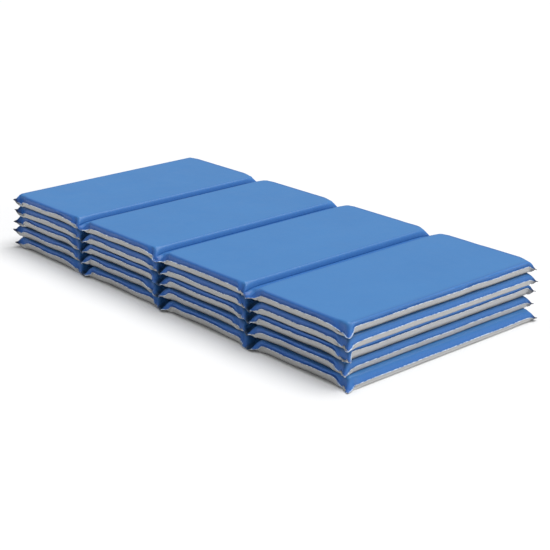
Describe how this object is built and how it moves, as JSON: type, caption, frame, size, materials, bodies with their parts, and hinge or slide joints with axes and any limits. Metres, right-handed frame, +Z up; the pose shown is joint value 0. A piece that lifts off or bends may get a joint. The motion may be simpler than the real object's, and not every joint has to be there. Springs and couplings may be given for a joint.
{
  "type": "folding gym mat",
  "caption": "Pile of folding foam mats, each with sealed panels between a blue vinyl top and a grey vinyl bottom, hinged on flat webs so that it folds up zigzag.",
  "frame": {"origin": "on the floor, under the middle of the pile", "axes": "+X along the mats' length, from panel a to panel d; +Y across their width; +Z up"},
  "size_m": [1.265, 0.604, 0.1426],
  "materials": {
    "blue_vinyl": "satin",
    "grey_vinyl": "satin",
    "foam": "matte"
  },
  "bodies": {
    "mat_1": {"mat_1_top_cover": "blue_vinyl", "mat_1_bottom_cover": "grey_vinyl", "mat_1_foam_core_a": "foam", "mat_1_foam_core_b": "foam", "mat_1_foam_core_c": "foam", "mat_1_foam_core_d": "foam"},
    "mat_2": {"mat_2_top_cover": "blue_vinyl", "mat_2_bottom_cover": "grey_vinyl", "mat_2_foam_core_a": "foam", "mat_2_foam_core_b": "foam", "mat_2_foam_core_c": "foam", "mat_2_foam_core_d": "foam"},
    "mat_3": {"mat_3_top_cover": "blue_vinyl", "mat_3_bottom_cover": "grey_vinyl", "mat_3_foam_core_a": "foam", "mat_3_foam_core_b": "foam", "mat_3_foam_core_c": "foam", "mat_3_foam_core_d": "foam"},
    "mat_4": {"mat_4_top_cover": "blue_vinyl", "mat_4_bottom_cover": "grey_vinyl", "mat_4_foam_core_a": "foam", "mat_4_foam_core_b": "foam", "mat_4_foam_core_c": "foam", "mat_4_foam_core_d": "foam"},
    "mat_5_panel_a": {"mat_5_top_cover_a": "blue_vinyl", "mat_5_bottom_cover_a": "grey_vinyl", "mat_5_foam_core_a": "foam"},
    "mat_5_panel_b": {"mat_5_top_cover_b": "blue_vinyl", "mat_5_bottom_cover_b": "grey_vinyl", "mat_5_foam_core_b": "foam"},
    "mat_5_panel_c": {"mat_5_top_cover_c": "blue_vinyl", "mat_5_bottom_cover_c": "grey_vinyl", "mat_5_foam_core_c": "foam"},
    "mat_5_panel_d": {"mat_5_top_cover_d": "blue_vinyl", "mat_5_bottom_cover_d": "grey_vinyl", "mat_5_foam_core_d": "foam"},
    "mat_5_web_ab": {"mat_5_web_ab_top_layer": "blue_vinyl", "mat_5_web_ab_bottom_layer": "grey_vinyl"},
    "mat_5_web_bc": {"mat_5_web_bc_top_layer": "blue_vinyl", "mat_5_web_bc_bottom_layer": "grey_vinyl"},
    "mat_5_web_cd": {"mat_5_web_cd_top_layer": "blue_vinyl", "mat_5_web_cd_bottom_layer": "grey_vinyl"}
  },
  "joints": [
    {"name": "lift_mat_2", "type": "slide", "parent": "mat_1", "child": "mat_2", "axis": [0, 0, 1], "range_m": [0, 0.15]},
    {"name": "lift_mat_3", "type": "slide", "parent": "mat_2", "child": "mat_3", "axis": [0, 0, 1], "range_m": [0, 0.15]},
    {"name": "lift_mat_4", "type": "slide", "parent": "mat_3", "child": "mat_4", "axis": [0, 0, 1], "range_m": [0, 0.15]},
    {"name": "lift_mat_5", "type": "slide", "parent": "mat_4", "child": "mat_5_panel_d", "axis": [0, 0, 1], "range_m": [0, 0.15]},
    {"name": "fold_cd", "type": "hinge", "parent": "mat_5_panel_d", "child": "mat_5_panel_c", "pos_m": [0.31575, 0.001, 0.143], "axis": [0, 1, 0], "range_deg": [0, 180]},
    {"name": "bend_web_cd", "type": "hinge", "parent": "mat_5_panel_d", "child": "mat_5_web_cd", "pos_m": [0.33025, 0.001, 0.1285], "axis": [0, 1, 0], "range_deg": [0, 90]},
    {"name": "fold_bc", "type": "hinge", "parent": "mat_5_panel_c", "child": "mat_5_panel_b", "pos_m": [-0.0025, 0.001, 0.114], "axis": [0, -1, 0], "range_deg": [0, 180]},
    {"name": "bend_web_bc", "type": "hinge", "parent": "mat_5_panel_c", "child": "mat_5_web_bc", "pos_m": [0.012, 0.001, 0.1285], "axis": [0, -1, 0], "range_deg": [0, 90]},
    {"name": "fold_ab", "type": "hinge", "parent": "mat_5_panel_b", "child": "mat_5_panel_a", "pos_m": [-0.32075, 0.001, 0.143], "axis": [0, 1, 0], "range_deg": [0, 180]},
    {"name": "bend_web_ab", "type": "hinge", "parent": "mat_5_panel_b", "child": "mat_5_web_ab", "pos_m": [-0.30625, 0.001, 0.1285], "axis": [0, 1, 0], "range_deg": [0, 90]}
  ],
  "couplings": [
    {"joint": "fold_bc", "follows": "fold_cd", "ratio": 1},
    {"joint": "bend_web_cd", "follows": "fold_cd", "ratio": 0.5},
    {"joint": "bend_web_bc", "follows": "fold_cd", "ratio": 0.5},
    {"joint": "bend_web_ab", "follows": "fold_ab", "ratio": 0.5}
  ]
}
